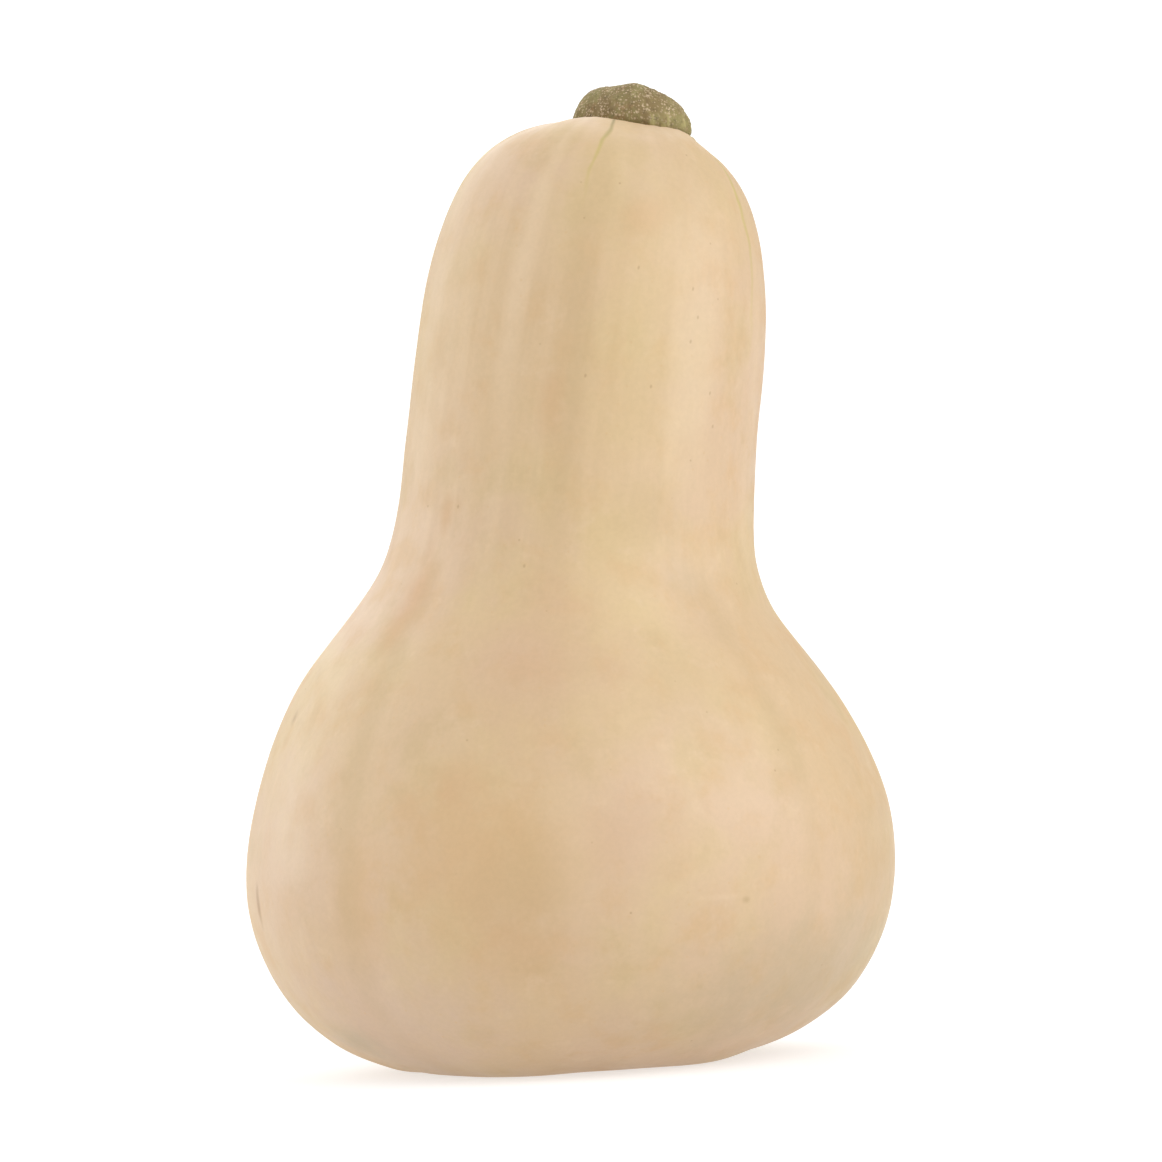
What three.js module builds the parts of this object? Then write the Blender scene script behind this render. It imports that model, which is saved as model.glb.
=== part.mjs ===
// A butternut squash that stands on its blossom end: the fruit, with its lobed base, round bulb,
// leaning neck and sunken crown, and the short corky stub of its stem.
// Millimetres, +Z up. Seen from the front, along +Y, +X is to the right and the neck leans right.
// The origin is on the surface that the fruit stands on, below the middle of its bounding box.

import * as THREE from 'three';

const { degToRad, clamp, smoothstep } = THREE.MathUtils;
const TURN = 2 * Math.PI;

// Driving dimensions, in millimetres

// The fruit's outline from the front, from the blossom end up to the stem's seat. Each row is a pair
// of points that face each other across the fruit: left x, left z, right x, right z.
const OUTLINE = [
  [-3, 1.9, -3, 1.9],
  [-8, 2.2, 2, 2.2],
  [-12.5, 0.8, 6.5, 0.9],
  [-18.5, 0, 13, 0.1],
  [-28.6, 0, 24, 0.7],
  [-38.1, 0.8, 35.2, 1],
  [-47.7, 4.1, 45.8, 4.2],
  [-56.1, 10, 55.2, 10.2],
  [-62.7, 17.6, 61.6, 17.8],
  [-67.5, 27.9, 66.5, 28],
  [-69.7, 39.6, 68.8, 39.7],
  [-68.5, 51.5, 68.4, 51.5],
  [-65.3, 63.5, 64.9, 62.8],
  [-60.4, 75.5, 59.4, 73.8],
  [-53.8, 86.7, 52.4, 84.5],
  [-44.9, 97.3, 45.5, 94.4],
  [-37.4, 107.5, 42.4, 104.5],
  [-33.6, 118.6, 42.7, 114.6],
  [-31.5, 130.6, 43.3, 125.6],
  [-29.6, 142.6, 44.7, 137.1],
  [-27.4, 154.6, 46.5, 148.6],
  [-25.1, 165.7, 47.3, 160.1],
  [-21.4, 177.1, 47, 171.1],
  [-16.7, 187.2, 45.1, 181],
  [-10, 194.9, 40.7, 189.2],
  [-1.4, 199.1, 36.2, 193.5],
  [6.3, 200.2, 34.4, 195.2],
  [8.4, 198.9, 33.6, 194.4],
  [21, 196.7, 21, 196.7],
];
const DEPTH_RATIO = 0.965; // the fruit is a little flatter from front to back

// The crown sits a little behind the bulb's middle and faces slightly backwards. The places run from
// 0 at the blossom end to 1 at the seat.
const LEAN_BACK = { from: 0.5, to: 1, shift: 4, tilt: degToRad(8) };

// The spot that the fruit stands on: what the outline has below `flat` is pressed level, and what it
// has above `round` keeps its height.
const STANDING_SPOT = { flat: 0.35, round: 1.8 };

// Long waves round the fruit, which its seed chambers leave: how many, where a crest is, how high,
// and where along the fruit they are at their strongest and how far they reach from there.
const WAVES = [
  { count: 5, crest: degToRad(245), height: 0.45, middle: 0.14, reach: 0.14 },
  { count: 10, crest: degToRad(249), height: 0.28, middle: 0.32, reach: 0.26 },
  { count: 5, crest: degToRad(208), height: 0.3, middle: 0.72, reach: 0.26 },
  { count: 5, crest: degToRad(244), height: 0.5, middle: 0.9, reach: 0.07 },
  { count: 3, crest: degToRad(20), height: 0.35, middle: 0.45, reach: 0.4 },
];

// The stem's stub: radius and height along its own axis, from its foot to the middle of its cut top.
const STEM_PROFILE = [
  [0, 0],
  [6, 0],
  [10.8, 0],
  [12, 0.5],
  [12.5, 1.6],
  [12.4, 3],
  [12, 4.4],
  [11.4, 5.8],
  [10.5, 7.1],
  [9.2, 8.4],
  [7.4, 9.4],
  [5.2, 9.9],
  [3.2, 9.8],
  [1.6, 9.5],
  [0, 9.4],
];
const STEM_GAP = 0.3; // between the stem's foot and its seat
const STEM_LOBES = { count: 5, crest: degToRad(262), height: 0.5 };
const STEM_FLUTES = { count: 20, crest: degToRad(270), height: 0.22, middle: 2.2, reach: 4.5 };
const STEM_TOP_WAVES = { count: 3, crest: degToRad(150), height: 0.35, middle: 7, reach: 6 };
const STEM_WORN = 0.013; // the top falls away to the right, by this times the distance squared

const FRUIT_SIDES = 72;
const FRUIT_ROWS_PER_PAIR = 2;
const STEM_SIDES = 80;
const STEM_ROWS = 20;

// Helpers for every piece

// A bump that is 1 at its middle and runs out to 0 at its reach.
function bump(value, middle, reach) {
  const away = Math.min(Math.abs(value - middle) / reach, 1);
  return (1 - away * away) ** 2;
}

// The height of a wave at an angle round the piece.
function wave({ count, crest, height }, angle) {
  return height * Math.cos(count * (angle - crest));
}

// A smooth curve in the front plane through x, z points, read at a place from 0 to 1.
function curveThrough(points) {
  const inPlane = points.map(([x, z]) => new THREE.Vector3(x, 0, z));
  return new THREE.CatmullRomCurve3(inPlane, false, 'catmullrom', 0.5);
}

// A closed piece whose skin is a surface of an angle and a place, from 0 at its foot to 1 at its top.
function solidOf(surface, sides, rows) {
  const geometry = new THREE.SphereGeometry(1, sides, rows);
  const { position, uv } = geometry.attributes;
  for (let i = 0; i < position.count; i++) {
    const angle = (uv.getX(i) % 1) * TURN + Math.PI;
    position.setXYZ(i, ...surface(angle, uv.getY(i)));
  }
  geometry.computeVertexNormals();
  return geometry;
}

// The fruit

const leftEdge = curveThrough(OUTLINE.map(([x, z]) => [x, z]));
const rightEdge = curveThrough(OUTLINE.map(([, , x, z]) => [x, z]));

// The ring round the fruit at a place: its middle and its two half-widths, to the right and back.
function ringAt(place) {
  const left = leftEdge.getPoint(place);
  const right = rightEdge.getPoint(place);
  const share = smoothstep(place, LEAN_BACK.from, LEAN_BACK.to);
  const middle = left.clone().add(right).multiplyScalar(0.5);
  middle.y = LEAN_BACK.shift * share;
  const toRight = right.clone().sub(left).multiplyScalar(0.5);
  const tilt = LEAN_BACK.tilt * share;
  const toBack = new THREE.Vector3(0, Math.cos(tilt), -Math.sin(tilt));
  toBack.multiplyScalar(toRight.length() * DEPTH_RATIO);
  return { middle, toRight, toBack };
}

// The fruit's skin without its waves.
function plainSkin(angle, place) {
  const { middle, toRight, toBack } = ringAt(place);
  return middle.addScaledVector(toRight, Math.cos(angle)).addScaledVector(toBack, Math.sin(angle));
}

// The way out of the plain skin, from two short steps along it.
function wayOut(angle, place) {
  const step = 1e-3;
  const low = Math.max(place - step, 0);
  const high = Math.min(place + step, 1);
  const round = plainSkin(angle + step, place).sub(plainSkin(angle - step, place));
  const along = plainSkin(angle, high).sub(plainSkin(angle, low));
  return round.cross(along).normalize();
}

function fruitSkin(angle, place) {
  const point = plainSkin(angle, place);
  const relief = WAVES.reduce(
    (sum, w) => sum + wave(w, angle) * bump(place, w.middle, w.reach),
    0,
  );
  if (relief !== 0) point.addScaledVector(wayOut(angle, place), relief);
  if (point.z < STANDING_SPOT.round) {
    point.z *= smoothstep(point.z, STANDING_SPOT.flat, STANDING_SPOT.round);
  }
  return point;
}

function makeFruit() {
  const rows = (OUTLINE.length - 1) * FRUIT_ROWS_PER_PAIR;
  const skin = new THREE.MeshStandardMaterial({ color: 0xe0c199, roughness: 0.5, metalness: 0 });
  const fruit = new THREE.Mesh(solidOf(fruitSkin, FRUIT_SIDES, rows), skin);
  fruit.name = 'fruit';
  return fruit;
}

// The stem

const stemEdge = curveThrough(STEM_PROFILE);

// The stem's bark in its own frame, with its foot at height 0.
function stemBark(angle, place) {
  const { x: plainRadius, z: plainHeight } = stemEdge.getPoint(place);
  const risen = plainHeight / STEM_PROFILE.at(-1)[1];
  const lobes = wave(STEM_LOBES, angle) * clamp(plainRadius / STEM_PROFILE[2][0], 0, 1);
  const flutes =
    wave(STEM_FLUTES, angle) * bump(plainHeight, STEM_FLUTES.middle, STEM_FLUTES.reach);
  const onSide = smoothstep(plainRadius, STEM_PROFILE[1][0], STEM_PROFILE[2][0]);
  const radius = plainRadius + lobes + flutes * onSide;
  const x = radius * Math.cos(angle);
  const { middle, reach } = STEM_TOP_WAVES;
  const uneven = wave(STEM_TOP_WAVES, angle) * bump(plainRadius, middle, reach);
  const worn = STEM_WORN * Math.max(x, 0) ** 2;
  const height = plainHeight + risen * (uneven - worn);
  return new THREE.Vector3(x, radius * Math.sin(angle) * DEPTH_RATIO, height);
}

// The stem's frame stands square on the seat, which is level with the fruit's last ring.
function makeStem() {
  const lastRing = 1 - 1 / (OUTLINE.length - 1);
  const { toRight, toBack } = ringAt(lastRing);
  const right = toRight.normalize();
  const up = right.clone().cross(toBack.normalize());
  const back = up.clone().cross(right);
  const bark = new THREE.MeshStandardMaterial({ color: 0x8e7d57, roughness: 0.85, metalness: 0 });
  const stem = new THREE.Mesh(solidOf(stemBark, STEM_SIDES, STEM_ROWS), bark);
  stem.name = 'stem';
  const placed = new THREE.Group();
  placed.position.copy(ringAt(1).middle).addScaledVector(up, STEM_GAP);
  placed.quaternion.setFromRotationMatrix(new THREE.Matrix4().makeBasis(right, back, up));
  placed.add(stem);
  return placed;
}

// The squash, with both pieces in place

const fruit = makeFruit();
const squash = new THREE.Group();
squash.add(fruit, makeStem());

// The box's middle goes over the origin. The standing spot is at height 0 as built.
const box = new THREE.Box3().setFromObject(fruit, true);
const middle = box.getCenter(new THREE.Vector3());
squash.position.set(-middle.x, -middle.y, 0);

export default squash;
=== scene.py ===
# A butternut squash that stands on a white floor in soft studio light.
# The rind and the stem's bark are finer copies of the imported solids, with relief of their own.
# Metres, +Z up. Seen from the front, along +Y, +X is to the right.

import math

import bmesh
import bpy
from mathutils import Matrix, Vector, noise


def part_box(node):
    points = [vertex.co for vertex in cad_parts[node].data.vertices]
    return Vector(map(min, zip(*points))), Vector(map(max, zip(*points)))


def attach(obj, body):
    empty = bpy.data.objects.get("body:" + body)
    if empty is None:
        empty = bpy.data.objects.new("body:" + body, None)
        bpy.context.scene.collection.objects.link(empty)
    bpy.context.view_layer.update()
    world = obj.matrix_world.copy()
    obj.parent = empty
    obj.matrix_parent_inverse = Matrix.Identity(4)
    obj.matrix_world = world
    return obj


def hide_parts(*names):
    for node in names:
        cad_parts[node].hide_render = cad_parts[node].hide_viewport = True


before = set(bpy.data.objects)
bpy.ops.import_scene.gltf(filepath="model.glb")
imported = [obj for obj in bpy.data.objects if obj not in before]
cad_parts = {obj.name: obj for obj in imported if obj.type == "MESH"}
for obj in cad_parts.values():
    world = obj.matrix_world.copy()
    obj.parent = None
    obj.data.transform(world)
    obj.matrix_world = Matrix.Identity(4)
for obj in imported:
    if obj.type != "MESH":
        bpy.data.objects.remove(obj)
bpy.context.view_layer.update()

MM = 0.001

# The camera looks at the squash from far off and almost level. The picture leans, so it is rolled.
AIM = Vector((5.4, 0, 102.6)) * MM
VIEW_DISTANCE = 1800 * MM
VIEW_ELEVATION = math.radians(1)
VIEW_ROLL = math.radians(-3)
PICTURE_WIDTH = 247.5 * MM  # at the aim's distance
SENSOR_WIDTH = 36  # in millimetres, as Blender wants it

# The light comes from wide soft lamps round the squash. A lamp's azimuth and elevation say where it
# shines from, with the front at 270, and its width is the angle that it fills.
LAMPS = [
    {"name": "left", "azimuth": 190, "elevation": 24, "width": 100, "strength": 1.96},
    {"name": "right", "azimuth": 332, "elevation": 40, "width": 76, "strength": 2.14},
    {"name": "front", "azimuth": 275, "elevation": 10, "width": 90, "strength": 0.42},
    {"name": "strip", "azimuth": 345, "elevation": 22, "width": 24, "strength": 0.45},
    {"name": "edge", "azimuth": 152, "elevation": 10, "width": 50, "strength": 0.8},
    {"name": "back", "azimuth": 100, "elevation": 40, "width": 60, "strength": 1.2},
]
ROOM_LIGHT = 0.08
ROOM_SHEEN = 0.6
ROOM_SEEN = 1.2
FLOOR_COLOUR = (0.5, 0.5, 0.5)
FLOOR_GLOW = 0.5
FLOOR_SEEN = 0.58  # the floor's glow where the camera sees it, which keeps it white in soft shadow
FLOOR_SIZE = 40.0

# The fruit's own middle line: it rises upright through the bulb and leans over in the neck, up to
# the middle of the stem. What runs along the fruit follows it.
stem_low, stem_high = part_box("stem")
STEM_MIDDLE = (stem_low + stem_high) / 2
LEAN_START = 95 * MM
LEAN_POWER = 1.35
RUN = "run"  # the attribute that holds where a point is from that line

# Places on the rind are given by the angle round the middle line, with the front at 270 degrees, and
# the height. Lengths round the fruit are right where it is 50 mm in radius.
GIRTH = 50 * MM

# Heights between which one part of the fruit gives way to the next.
STANDING_SPOT = (0.3 * MM, 8 * MM)
BULB_TO_NECK = (85 * MM, 125 * MM)
NECK_TO_CROWN = (178 * MM, 194 * MM)

MIX_COLOUR_INPUTS = (0, 6, 7)  # a Mix node's sockets for its share and its two colours
MIX_COLOUR_OUTPUT = 2

SKIN_LEVELS = 2
BARK_LEVELS = 2
MERGE_DISTANCE = 1e-6

# The veins run down the rind from the stem: each one's angle in degrees, and the height that it fades
# out at and its half-width in millimetres.
VEINS = [(262, 180, 0.7), (338, 138, 1.3), (55, 172, 0.6), (122, 182, 0.5), (190, 160, 0.7)]
VEIN_TOP = 201 * MM
VEIN_DARKENS = 193 * MM  # above this the veins turn dark
VEIN_SHARE = 0.85  # how strongly a vein shows at its top
VEIN_WANDER = 5 * MM  # how far they wander from side to side at the very most

# Colours are linear red, green and blue.
TAN = (0.595, 0.425, 0.245)
PINK = (0.605, 0.432, 0.278)
STRAW = (0.600, 0.448, 0.235)
OCHRE = (0.585, 0.385, 0.200)
BISCUIT = (0.515, 0.365, 0.198)
CLAY = (0.570, 0.345, 0.180)
# DUSK, a dull darker tan, is painted shade low on the right and in the crease between neck and bulb,
# and a darker tone elsewhere.
DUSK = (0.440, 0.350, 0.215)
PALE = (0.670, 0.502, 0.322)
# Painted highlight: the pale cream of the strip lamp's reflection down the right side of the neck.
HIGHLIGHT_CREAM = (0.675, 0.520, 0.335)
ROSE = (0.535, 0.350, 0.230)
# Painted reflection: a pale bluish grey for the white floor's and room's sheen low on the left.
SHEEN_GREY = (0.590, 0.430, 0.310)
VEIN_GREEN = (0.480, 0.390, 0.110)
VEIN_DARK = (0.260, 0.200, 0.085)
BROWN = (0.320, 0.180, 0.085)
CORK = (0.215, 0.150, 0.062)
CORK_OLIVE = (0.245, 0.205, 0.080)
CORK_DARK = (0.120, 0.085, 0.040)
CORK_RUST = (0.300, 0.175, 0.085)
CORK_MOSS = (0.420, 0.360, 0.150)
CORK_PALE = (0.570, 0.440, 0.290)

# The rind's lumps, by size and height, and its faint lengthwise streaks, all in millimetres.
RIND_LUMPS = [(34, 0.35), (12, 0.12), (4, 0.03)]
BULB_STREAKS = 0.04
NECK_STREAKS = 0.10  # on top of what the bulb has
STREAKS_ROUND = 9  # how fast they change round the fruit
STREAKS_ALONG = 0.7  # and along it

# Long shallow valleys between the bulb's ribs: their angles and how far they reach to each side, in
# degrees, how deep they are, in millimetres, and the heights between which they run out.
VALLEYS = (226, 319, 48, 135)
VALLEY_REACH = 13
VALLEY_DEPTH = 0.3
VALLEY_END = (105 * MM, 135 * MM)

# The blossom's scar, in the middle of the underside. It is rough up to a height of SCAR_TOP.
SCAR_MIDDLE = Vector((-3, 0, 2)) * MM
SCAR_RADIUS = 7 * MM
SCAR_TOP = 6 * MM
SCAR_ROUGHNESS = 0.25 * MM

# The stem's relief: corky grains, larger lumps and small upright bumps, in millimetres.
BARK_GRAINS = 0.15
BARK_LUMPS = 0.18
BARK_BUMPS = 0.4
UPRIGHT = (1, 1, 0.35)  # stretches noise along the height

# The stem has mossy upright bumps low on its side, most of all on the right, and pale crumbs of cork
# towards the top. A crumb row is the crumbs' spacing and how rare they are.
MOSS_MIDDLE = STEM_MIDDLE + Vector((9, -7, -2)) * MM
BUMPS_END = (200 * MM, 204 * MM)
CRUMBS_START = (197 * MM, 203 * MM)
CRUMBS = [(0.8 * MM, 0.15), (0.5 * MM, 0.28)]

# Clouds of colour on the rind: colour, size in millimetres, the noise's detail and roughness, the
# values between which the cloud sets in, how strongly it shows, and whether its noise is read
# elsewhere, so that two clouds don't follow the same lumps.
CLOUDS = [
    (PINK, 55, 2, 0.5, 0.4, 0.62, 1, False),
    (STRAW, 26, 3, 0.5, 0.45, 0.7, 0.8, True),
    (OCHRE, 9, 4, 0.6, 0.48, 0.72, 0.5, False),
    (BISCUIT, 13, 5, 0.65, 0.5, 0.72, 0.45, True),
    (PALE, 6, 3, 0.6, 0.55, 0.75, 0.35, True),
]
ELSEWHERE = (0.3, 0.1, 0.7)

# Soft patches on the rind: angle, height, half-width, half-height, colour and how strongly it shows.
# Most are the rind's own tones; those marked below are painted shade, a painted highlight and a
# painted reflection.
PATCHES = [
    (268, 186, 18, 16, STRAW, 0.85),
    (292, 184, 28, 13, BISCUIT, 0.6),
    # Partly painted shade and partly the rind's own darker tone: a narrow darker band down the front
    # of the neck, which lies between the side lights.
    (264, 172, 5, 24, BISCUIT, 0.35),
    (290, 150, 16, 40, STRAW, 0.45),
    (202, 155, 20, 45, BISCUIT, 0.5),
    (257, 43, 18, 14, OCHRE, 0.8),
    (262, 42, 9, 12, BISCUIT, 0.4),
    (250, 55, 12, 9, OCHRE, 0.6),
    (228, 42, 6, 16, OCHRE, 0.7),
    (260, 27, 10, 8, CLAY, 0.3),
    # Partly painted shade and partly the rind's own darker tone: the darker band down the front of
    # the neck goes on lower.
    (268, 142, 5, 34, BISCUIT, 0.4),
    (243, 170, 4, 28, PALE, 0.7),
    # Painted highlight: a pale band down the right side of the neck, where the strip lamp is
    # reflected.
    (311, 148, 9, 30, HIGHLIGHT_CREAM, 0.6),
    (300, 116, 12, 9, BISCUIT, 0.4),
    (318, 97, 10, 10, BISCUIT, 0.4),
    (298, 80, 12, 12, BISCUIT, 0.35),
    # Painted shade: darker low on the right side, where the light falls off.
    (343, 38, 14, 16, BISCUIT, 0.6),
    (268, 88, 16, 20, ROSE, 0.45),
    (285, 50, 10, 12, ROSE, 0.35),
    # Painted reflection: the white floor's and room's bluish sheen on the lower left and up the left
    # edge.
    (226, 12, 26, 14, SHEEN_GREY, 0.85),
    (206, 45, 14, 26, SHEEN_GREY, 0.5),
    (286, 179, 8, 4.5, CLAY, 0.35),
    (262, 141, 4.2, 8, CLAY, 0.4),
    (226, 118, 2.2, 5, CLAY, 0.5),
    (223, 101, 5, 10, CLAY, 0.6),
    # Painted shade in the crease where the neck meets the bulb, on the right.
    (310, 102, 9, 4, DUSK, 0.22),
    (249, 64, 5, 5, CLAY, 0.35),
    # Painted shade: darker lines down the valleys at 226 and 319 degrees.
    (226, 62, 3.4, 56, BISCUIT, 0.5),
    (319, 66, 3.2, 42, BISCUIT, 0.35),
    # Painted shade: darker low on the right and under the front right of the bulb, where the light
    # falls off.
    (325, 20, 26, 13, DUSK, 0.5),
    (300, 12, 22, 7, DUSK, 0.25),
    (271, 47, 4, 22, PALE, 0.25),
    (287, 43, 11, 9, PALE, 0.2),
    (209, 9, 8, 4, DUSK, 0.6),
    (298, 37, 4, 0.6, PALE, 0.35),
    (303, 36, 0.8, 0.8, BROWN, 0.35),
    (194, 38, 1, 4.5, BROWN, 0.6),
    (195, 77, 1.2, 1.6, BROWN, 0.45),
    (60, 60, 22, 14, OCHRE, 0.6),
    (110, 35, 8, 16, DUSK, 0.3),
    (95, 150, 6, 30, PALE, 0.4),
    (140, 120, 4, 12, CLAY, 0.45),
    (20, 172, 7, 6, CLAY, 0.4),
]

# Small brown specks on the neck, by angle and height.
FLECKS = [(310, 157), (308, 152), (319, 141), (322, 134), (295, 143), (285, 168), (307, 163),
          (231, 120), (259, 107), (272, 146), (80, 150), (120, 138), (35, 162)]
FLECK_SIZE = 0.45

# Tiny specks all over the rind: spacing and radius in millimetres, colour and how strongly they show.
SPECKS = [(6.5, 0.4, BROWN, 0.55), (3.1, 0.5, OCHRE, 0.5)]


# The camera, the floor and the light


def make_camera():
    data = bpy.data.cameras.new("camera")
    data.sensor_width = SENSOR_WIDTH
    data.lens = SENSOR_WIDTH * VIEW_DISTANCE / PICTURE_WIDTH
    camera = bpy.data.objects.new("camera", data)
    bpy.context.collection.objects.link(camera)
    back = Vector((0, -math.cos(VIEW_ELEVATION), math.sin(VIEW_ELEVATION)))
    turn = (-back).to_track_quat("-Z", "Y").to_matrix().to_4x4()
    roll = Matrix.Rotation(VIEW_ROLL, 4, "Z")
    camera.matrix_world = Matrix.Translation(AIM + back * VIEW_DISTANCE) @ turn @ roll
    bpy.context.scene.camera = camera


def make_room():
    """A white room: faint as a light, brighter in reflections and brightest to the camera."""
    world = bpy.data.worlds.new("white_room")
    world.use_nodes = True
    nodes, links = world.node_tree.nodes, world.node_tree.links
    path = nodes.new("ShaderNodeLightPath")
    sheen = nodes.new("ShaderNodeMapRange")
    sheen.inputs["To Min"].default_value = ROOM_LIGHT
    sheen.inputs["To Max"].default_value = ROOM_SHEEN
    links.new(path.outputs["Is Glossy Ray"], sheen.inputs["Value"])
    strength = nodes.new("ShaderNodeMapRange")
    strength.inputs["To Max"].default_value = ROOM_SEEN
    links.new(sheen.outputs["Result"], strength.inputs["To Min"])
    links.new(path.outputs["Is Camera Ray"], strength.inputs["Value"])
    background = nodes["Background"]
    background.inputs["Color"].default_value = (1, 1, 1, 1)
    links.new(strength.outputs["Result"], background.inputs["Strength"])
    bpy.context.scene.world = world


def make_lamp(name, azimuth, elevation, width, strength):
    data = bpy.data.lights.new(name, "SUN")
    data.energy = strength
    data.angle = math.radians(width)
    lamp = bpy.data.objects.new(name, data)
    bpy.context.collection.objects.link(lamp)
    towards = Vector((math.cos(math.radians(elevation)), 0, math.sin(math.radians(elevation))))
    towards.rotate(Matrix.Rotation(math.radians(azimuth), 3, "Z"))
    lamp.rotation_mode = "QUATERNION"
    lamp.rotation_quaternion = towards.to_track_quat("Z", "Y")


def make_floor():
    bm = bmesh.new()
    bmesh.ops.create_grid(bm, x_segments=1, y_segments=1, size=FLOOR_SIZE / 2)
    floor = object_from(bm, "floor")
    finish = Finish("white_floor")
    finish.set("Base Color", FLOOR_COLOUR)
    finish.set("Roughness", 0.9)
    finish.set("Emission Color", (1.0, 1.0, 1.0))
    seen = finish.node("LightPath").outputs["Is Camera Ray"]
    finish.set("Emission Strength", finish.fade(seen, 0, 1, FLOOR_GLOW, FLOOR_SEEN))
    floor.data.materials.append(finish.material)


# Mesh helpers


def object_from(bm, name):
    """Ends a bmesh as a smooth object at the origin."""
    for face in bm.faces:
        face.smooth = True
    mesh = bpy.data.meshes.new(name)
    bm.to_mesh(mesh)
    bm.free()
    obj = bpy.data.objects.new(name, mesh)
    bpy.context.collection.objects.link(obj)
    return obj


def merged_copy(node_name):
    """A copy of a CAD node as a closed bmesh of four-sided faces."""
    bm = bmesh.new()
    bm.from_mesh(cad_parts[node_name].data)
    bmesh.ops.remove_doubles(bm, verts=bm.verts, dist=MERGE_DISTANCE)
    bmesh.ops.join_triangles(
        bm, faces=bm.faces, angle_face_threshold=math.pi, angle_shape_threshold=math.pi
    )
    return bm


def subdivided(bm, levels):
    """The same surface, smoother, with each face cut into four as many times as there are levels."""
    coarse = object_from(bm, "coarse")
    finer = coarse.modifiers.new("finer", "SUBSURF")
    finer.levels = levels
    finer.render_levels = levels
    fine = bmesh.new()
    fine.from_object(coarse, bpy.context.evaluated_depsgraph_get())
    bpy.data.objects.remove(coarse)
    return fine


def add_relief(bm, height):
    """Moves each vertex out along its normal, by a height worked out from where it is."""
    bm.normal_update()
    moves = [(v, v.normal * height(v.co)) for v in bm.verts]
    for vertex, move in moves:
        vertex.co += move


def cloudy(point, size):
    """Smooth noise from about -1 to 1, in lumps of about the given size."""
    return noise.noise(point / size)


def fade(value, start, end):
    """0 at the start, 1 at the end and smooth between."""
    share = min(max((value - start) / (end - start), 0), 1)
    return share * share * (3 - 2 * share)


# Material helpers


class Finish:
    """A material in the making. Each method adds a node and gives its output."""

    def __init__(self, name):
        self.material = bpy.data.materials.new(name)
        self.material.use_nodes = True
        self.nodes = self.material.node_tree.nodes
        self.links = self.material.node_tree.links
        self.shader = self.nodes["Principled BSDF"]

    def give(self, socket, value):
        """Links an output to a socket, or sets the socket to a number, a place or a colour."""
        if isinstance(value, bpy.types.NodeSocket):
            self.links.new(value, socket)
        elif socket.type == "RGBA":
            socket.default_value = (*value, 1)
        else:
            socket.default_value = value

    def set(self, socket, value):
        self.give(self.shader.inputs[socket], value)

    def node(self, kind, *values, **settings):
        """A node with its settings, and its first inputs filled in order."""
        made = self.nodes.new("ShaderNode" + kind)
        for name, setting in settings.items():
            setattr(made, name, setting)
        for socket, value in zip(made.inputs, values):
            self.give(socket, value)
        return made

    def math(self, operation, a, b=0.0):
        return self.node("Math", a, b, operation=operation).outputs[0]

    def vector(self, operation, a, b=(0, 0, 0)):
        made = self.node("VectorMath", a, b, operation=operation)
        return made.outputs["Value" if operation in ("LENGTH", "DOT_PRODUCT") else "Vector"]

    def here(self):
        """The place in the object, in metres."""
        return self.node("TexCoord").outputs["Object"]

    def attribute(self, name):
        return self.node("Attribute", attribute_name=name).outputs["Vector"]

    def noise(self, place, size, detail=2.0, roughness=0.5):
        """Noise about 0.5, in lumps of the given size in the place's own unit."""
        made = self.node("TexNoise")
        self.give(made.inputs["Vector"], place)
        self.give(made.inputs["Scale"], 1 / size)
        self.give(made.inputs["Detail"], detail)
        self.give(made.inputs["Roughness"], roughness)
        return made.outputs["Fac"]

    def cells(self, place, size):
        """Scattered points: how far the nearest one is, in cells, and a random colour for it."""
        made = self.node("TexVoronoi")
        self.give(made.inputs["Vector"], place)
        self.give(made.inputs["Scale"], 1 / size)
        return made.outputs["Distance"], made.outputs["Color"]

    def fade(self, value, start, end, low=0.0, high=1.0):
        """Goes smoothly from low to high as the value goes from start to end."""
        made = self.node("MapRange", value, start, end, low, high, interpolation_type="SMOOTHSTEP")
        return made.outputs["Result"]

    def tint(self, colour, towards, share):
        """Mixes a colour towards another by a share from 0 to 1."""
        mix = self.node("Mix", data_type="RGBA")
        factor, a, b = (mix.inputs[i] for i in MIX_COLOUR_INPUTS)
        self.give(factor, share)
        self.give(a, colour)
        self.give(b, towards)
        return mix.outputs[MIX_COLOUR_OUTPUT]

    def times(self, vector, factor):
        """A vector or a colour times a number."""
        made = self.node("VectorMath", vector, operation="SCALE")
        self.give(made.inputs["Scale"], factor)
        return made.outputs["Vector"]

    def bump(self, height, strength, distance):
        made = self.node("Bump")
        self.give(made.inputs["Strength"], strength)
        self.give(made.inputs["Distance"], distance)
        self.give(made.inputs["Height"], height)
        self.set("Normal", made.outputs["Normal"])


# The rind


def from_middle_line(point):
    """Where a point is from the fruit's own middle line, with its height kept."""
    share = max((point.z - LEAN_START) / (stem_high.z - LEAN_START), 0) ** LEAN_POWER
    return Vector((point.x - STEM_MIDDLE.x * share, point.y - STEM_MIDDLE.y * share, point.z))


def rind_relief(point):
    """The rind's slight unevenness, which fades out where the fruit stands."""
    run = from_middle_line(point)
    around = Vector((run.x, run.y, 0)).normalized()
    drawn_out = around * STREAKS_ROUND
    drawn_out.z = run.z / GIRTH * STREAKS_ALONG
    streaks = BULB_STREAKS + NECK_STREAKS * fade(point.z, *BULB_TO_NECK)
    height = sum(high * cloudy(point, size * MM) for size, high in RIND_LUMPS)
    height += streaks * noise.noise(drawn_out)
    height -= VALLEY_DEPTH * valley_at(run)
    return height * MM * fade(point.z, *STANDING_SPOT) + scar_relief(point)


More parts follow.
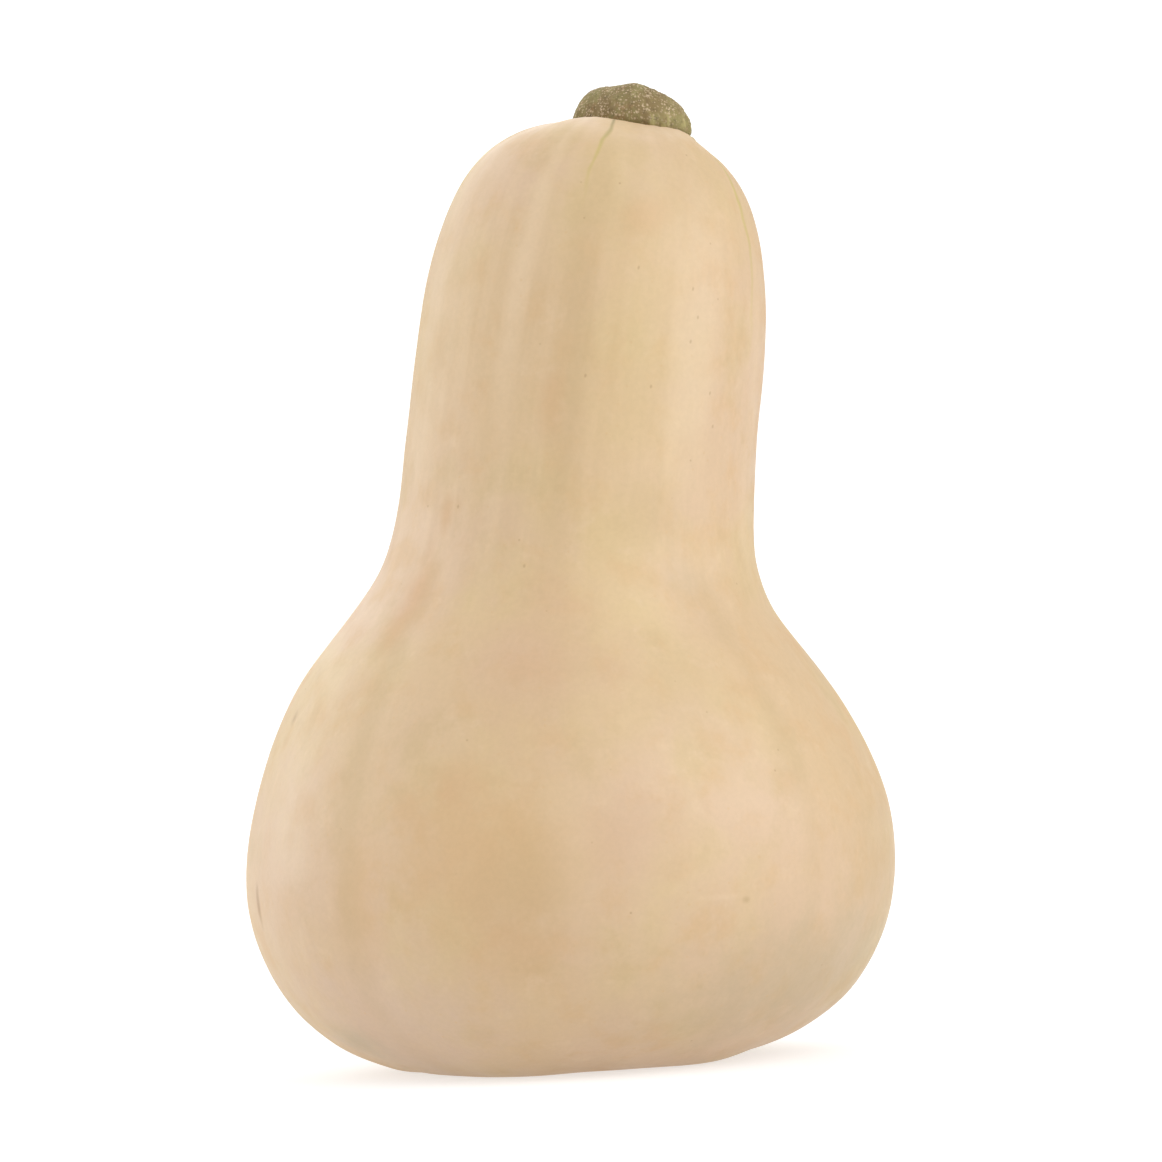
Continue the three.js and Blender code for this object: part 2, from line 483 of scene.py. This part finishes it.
def valley_at(run):
    """1 in the middle of a valley, and 0 outside the valleys and up on the neck."""
    angle = math.degrees(math.atan2(run.y, run.x))
    away = min(abs((angle - valley + 180) % 360 - 180) for valley in VALLEYS)
    return (1 - fade(away, 0, VALLEY_REACH)) * (1 - fade(run.z, *VALLEY_END))


def scar_relief(point):
    """The corky scar of the blossom, in the middle of the underside."""
    if point.z > SCAR_TOP:
        return 0
    out = Vector((point.x - SCAR_MIDDLE.x, point.y - SCAR_MIDDLE.y, 0))
    on_scar = 1 - fade(out.length, SCAR_RADIUS * 0.6, SCAR_RADIUS)
    return -SCAR_ROUGHNESS * on_scar * (cloudy(point, 1.6 * MM) + cloudy(point, 0.8 * MM))


def make_rind():
    bm = subdivided(merged_copy("fruit"), SKIN_LEVELS)
    add_relief(bm, rind_relief)
    run = bm.verts.layers.float_vector.new(RUN)
    for vertex in bm.verts:
        vertex.co.z = max(vertex.co.z, 0)
        vertex[run] = from_middle_line(vertex.co)
    rind = object_from(bm, "rind")
    rind.data.materials.append(rind_finish())
    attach(rind, "root")
    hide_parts("fruit")


def rind_finish():
    """Matte tan rind: soft clouds and patches, among them painted shade, a painted highlight and a
    painted reflection, streaks on the neck, veins, scar and specks.
    """
    finish = Finish("tan_rind")
    here = finish.here()
    run = finish.attribute(RUN)
    around = finish.vector("NORMALIZE", finish.vector("MULTIPLY", run, (1, 1, 0)))
    rise = finish.vector("MULTIPLY", run, (0, 0, 1 / GIRTH))
    unrolled = finish.vector("ADD", around, rise)
    height = finish.vector("DOT_PRODUCT", run, (0, 0, 1))

    colour = clouds(finish, TAN, here)
    colour = neck_streaks(finish, colour, unrolled, height)
    colour = patches(finish, colour, here, unrolled)
    colour = veins(finish, colour, run, height)
    colour = blossom_scar(finish, colour, here)
    for spacing, radius, speck_colour, share in SPECKS:
        colour = specks(finish, colour, here, spacing * MM, radius * MM, speck_colour, share)

    grain = finish.noise(here, 1.1 * MM, 3, 0.6)
    colour = finish.times(colour, finish.fade(grain, 0.25, 0.75, 0.98, 1.02))
    finish.set("Base Color", colour)
    finish.set("Roughness", finish.fade(finish.noise(here, 9 * MM, 3), 0.3, 0.7, 0.44, 0.56))
    pores = finish.noise(here, 0.7 * MM, 2, 0.65)
    uneven = finish.noise(here, 2.6 * MM, 1)
    finish.bump(finish.math("ADD", pores, finish.math("MULTIPLY", uneven, 1.5)), 0.5, 0.05 * MM)
    return finish.material


def clouds(finish, colour, here):
    """Soft clouds of colour, one kind over another."""
    elsewhere = finish.vector("ADD", here, ELSEWHERE)
    for cloud_colour, size, detail, roughness, start, end, share, moved in CLOUDS:
        cloud = finish.noise(elsewhere if moved else here, size * MM, detail, roughness)
        colour = finish.tint(colour, cloud_colour, finish.fade(cloud, start, end, 0, share))
    return colour


def neck_streaks(finish, colour, unrolled, height):
    """Pale bands and fine threads along the neck, which all but vanish on the bulb."""
    on_neck = finish.fade(height, *BULB_TO_NECK)
    drawn_out = finish.vector("MULTIPLY", unrolled, (1, 1, 0.1))
    bands = finish.fade(finish.noise(drawn_out, 0.2, 2), 0.46, 0.66)
    share = finish.fade(on_neck, 0, 1, 0.06, 0.24)
    colour = finish.tint(colour, PALE, finish.math("MULTIPLY", bands, share))
    threads = finish.fade(finish.noise(drawn_out, 0.05, 3, 0.6), 0.3, 0.7, -1, 1)
    depth = finish.fade(on_neck, 0, 1, 0.005, 0.014)
    depth = finish.math("MULTIPLY", depth, finish.fade(height, *NECK_TO_CROWN, 1, 0.2))
    shade = finish.math("ADD", finish.math("MULTIPLY", threads, depth), 1)
    return finish.times(colour, shade)


def patches(finish, colour, here, unrolled):
    """The soft patches, with ragged edges, some of them painted shade, highlight and reflection, and
    the small brown specks on the neck.
    """
    ragged = finish.math("MULTIPLY", finish.noise(here, 7 * MM, 4, 0.6), 1.4)
    for angle, height, wide, tall, patch_colour, share in PATCHES:
        away = patch_distance(finish, unrolled, angle, height, wide, tall)
        away = finish.math("ADD", away, ragged)
        colour = finish.tint(colour, patch_colour, finish.fade(away, 0.75, 2.2, share, 0))
    for angle, height in FLECKS:
        away = patch_distance(finish, unrolled, angle, height, FLECK_SIZE, FLECK_SIZE)
        colour = finish.tint(colour, BROWN, finish.fade(away, 0.3, 1.3, 0.4, 0))
    return colour


def patch_distance(finish, unrolled, angle, height, wide, tall):
    """How far the rind is from one place, in units of a patch's half-width and half-height."""
    turn = math.radians(angle)
    middle = (math.cos(turn), math.sin(turn), height * MM / GIRTH)
    reach = (GIRTH / (wide * MM), GIRTH / (wide * MM), GIRTH / (tall * MM))
    away = finish.vector("MULTIPLY", finish.vector("SUBTRACT", unrolled, middle), reach)
    return finish.vector("LENGTH", away)


def veins(finish, colour, run, height):
    """Thin green lines that run down from the stem and fade."""
    vein_colour = finish.tint(VEIN_GREEN, VEIN_DARK, finish.fade(height, VEIN_DARKENS, VEIN_TOP))
    wander = finish.math("SUBTRACT", finish.noise(run, 12 * MM, 2), 0.5)
    wander = finish.math("MULTIPLY", wander, VEIN_WANDER)
    for degrees, end, width in VEINS:
        angle = math.radians(degrees)
        outward = (math.cos(angle), math.sin(angle), 0)
        sideways = (-math.sin(angle), math.cos(angle), 0)
        off = finish.math("ADD", finish.vector("DOT_PRODUCT", run, sideways), wander)
        line = finish.fade(finish.math("ABSOLUTE", off), 0, width * MM, 1, 0)
        side = finish.fade(finish.vector("DOT_PRODUCT", run, outward), 0, 4 * MM)
        line = finish.math("MULTIPLY", line, side)
        strength = finish.fade(height, end * MM, VEIN_TOP, 0, VEIN_SHARE)
        line = finish.math("MULTIPLY", line, strength)
        colour = finish.tint(colour, vein_colour, line)
    return colour


def blossom_scar(finish, colour, here):
    """A corky brown ring with a paler middle, where the blossom was."""
    away = finish.vector("LENGTH", finish.vector("SUBTRACT", here, SCAR_MIDDLE))
    ragged = finish.fade(finish.noise(here, 2 * MM, 3), 0, 1, -2 * MM, 2 * MM)
    away = finish.math("ADD", away, ragged)
    ring = finish.fade(away, SCAR_RADIUS * 0.7, SCAR_RADIUS * 0.95, 0.85, 0)
    colour = finish.tint(colour, CORK, ring)
    middle = finish.fade(away, SCAR_RADIUS * 0.25, SCAR_RADIUS * 0.55, 0.6, 0)
    return finish.tint(colour, CORK_PALE, middle)


def specks(finish, colour, here, spacing, radius, speck_colour, share):
    """Tiny round specks where scattered points lie close to the surface."""
    distance, chance = finish.cells(here, spacing)
    chosen = finish.fade(finish.vector("DOT_PRODUCT", chance, (1, 0, 0)), 0.3, 0.6)
    dot = finish.fade(distance, 0, radius / spacing, share, 0)
    return finish.tint(colour, speck_colour, finish.math("MULTIPLY", dot, chosen))


# The stem


def bark_relief(point):
    """Corky grains, with larger lumps under them, and small upright bumps low on the side."""
    grains = noise.fractal(point / (0.9 * MM), 0.8, 2.1, 3)
    lumps = cloudy(point, 3.4 * MM)
    upright = point * Vector(UPRIGHT)
    bumps = max(cloudy(upright, 1.5 * MM), 0) * (1 - fade(point.z, *BUMPS_END))
    return (BARK_GRAINS * grains + BARK_LUMPS * lumps + BARK_BUMPS * bumps) * MM


def make_bark():
    bm = subdivided(merged_copy("stem"), BARK_LEVELS)
    add_relief(bm, bark_relief)
    bark = object_from(bm, "bark")
    bark.data.materials.append(bark_finish())
    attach(bark, "root")
    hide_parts("stem")


def bark_finish():
    """Dry olive-brown cork: mossy bumps low down, and crumbs of pale cork towards the top."""
    finish = Finish("dry_cork")
    here = finish.here()
    height = finish.vector("DOT_PRODUCT", here, (0, 0, 1))
    high_up = finish.fade(height, *CRUMBS_START)
    colour = finish.tint(CORK, CORK_OLIVE, finish.fade(finish.noise(here, 5 * MM, 3), 0.4, 0.6))
    rust = finish.fade(finish.noise(here, 3 * MM, 3), 0.55, 0.72, 0, 0.6)
    colour = finish.tint(colour, CORK_RUST, rust)

    upright = finish.vector("MULTIPLY", here, UPRIGHT)
    moss = finish.fade(finish.noise(upright, 2 * MM, 2), 0.48, 0.64)
    low_share = finish.fade(high_up, 0, 1, 0.9, 0.2)
    colour = finish.tint(colour, CORK_MOSS, finish.math("MULTIPLY", moss, low_share))
    from_side = finish.vector("LENGTH", finish.vector("SUBTRACT", here, MOSS_MIDDLE))
    colour = finish.tint(colour, CORK_MOSS, finish.fade(from_side, 2 * MM, 8 * MM, 0.25, 0))
    grime = finish.fade(finish.noise(here, 1.1 * MM, 4, 0.7), 0.52, 0.72, 0, 0.8)
    colour = finish.tint(colour, CORK_DARK, grime)

    scattered = finish.fade(finish.noise(here, 4 * MM, 2), 0.34, 0.54, 0.3, 1)
    crumb_share = finish.math("MULTIPLY", scattered, finish.fade(high_up, 0, 1, 0.4, 1))
    for spacing, rarity in CRUMBS:
        distance, chance = finish.cells(here, spacing)
        crumb = finish.fade(distance, 0.14, 0.44, 0.9, 0)
        drawn = finish.vector("DOT_PRODUCT", chance, (1, 0, 0))
        chosen = finish.fade(drawn, rarity, rarity + 0.25)
        crumb = finish.math("MULTIPLY", finish.math("MULTIPLY", crumb, chosen), crumb_share)
        colour = finish.tint(colour, CORK_PALE, crumb)
    finish.set("Base Color", colour)
    finish.set("Roughness", 0.9)
    finish.bump(finish.noise(here, 0.6 * MM, 4, 0.7), 0.9, 0.25 * MM)
    return finish.material


# The scene


bpy.context.scene.view_settings.view_transform = "Standard"
make_camera()
make_room()
for lamp in LAMPS:
    make_lamp(**lamp)
make_floor()
make_rind()
make_bark()
